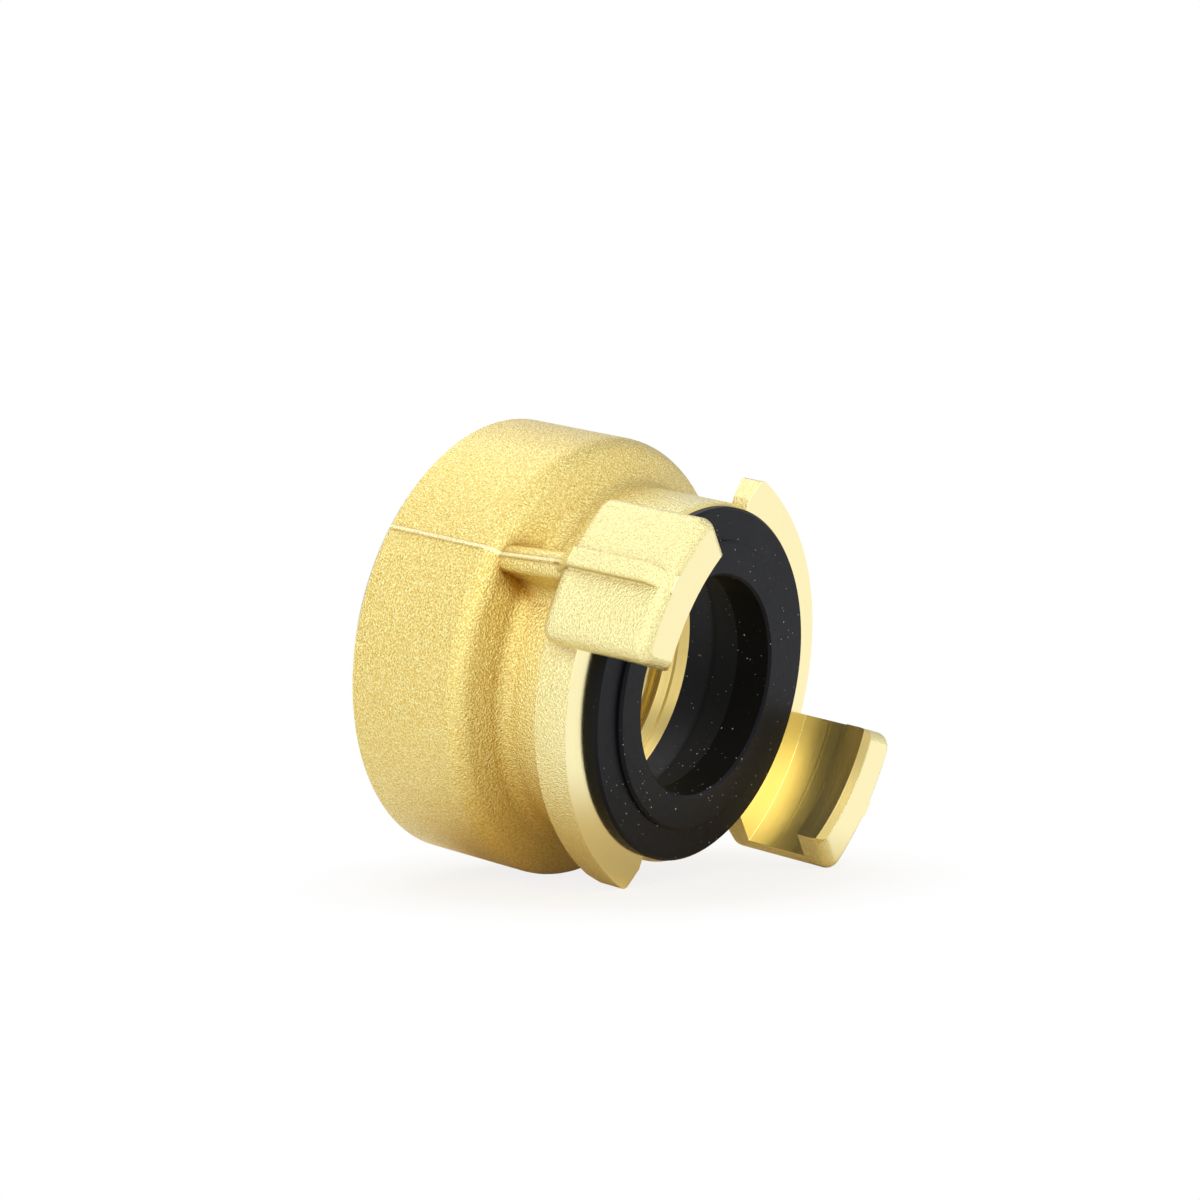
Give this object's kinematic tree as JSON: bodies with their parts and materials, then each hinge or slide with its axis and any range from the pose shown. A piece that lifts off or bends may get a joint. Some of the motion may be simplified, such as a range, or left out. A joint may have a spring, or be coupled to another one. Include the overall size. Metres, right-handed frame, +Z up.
{
  "type": "claw hose coupling",
  "caption": "Half of a quick-release claw coupling: brass body with hooked claws, ramped wings and a female pipe thread, with a rubber lip seal in its face.",
  "frame": {"origin": "on the ground, under the centre of the loose coupling's bounding box as it lies at rest", "axes": "+X is the coupling's axis seen from above, towards the claws; +Z is up; the axis itself points 10.22 degrees below +X, because the coupling rests on its barrel, one wing tip and one claw"},
  "size_m": [0.0394, 0.0444, 0.0436],
  "materials": {
    "forged_brass": "shot-blasted forging with turned faces",
    "black_rubber": "moulded, satin"
  },
  "bodies": {
    "root": {"coupling_body": "forged_brass", "lip_seal": "black_rubber"}
  },
  "joints": []
}
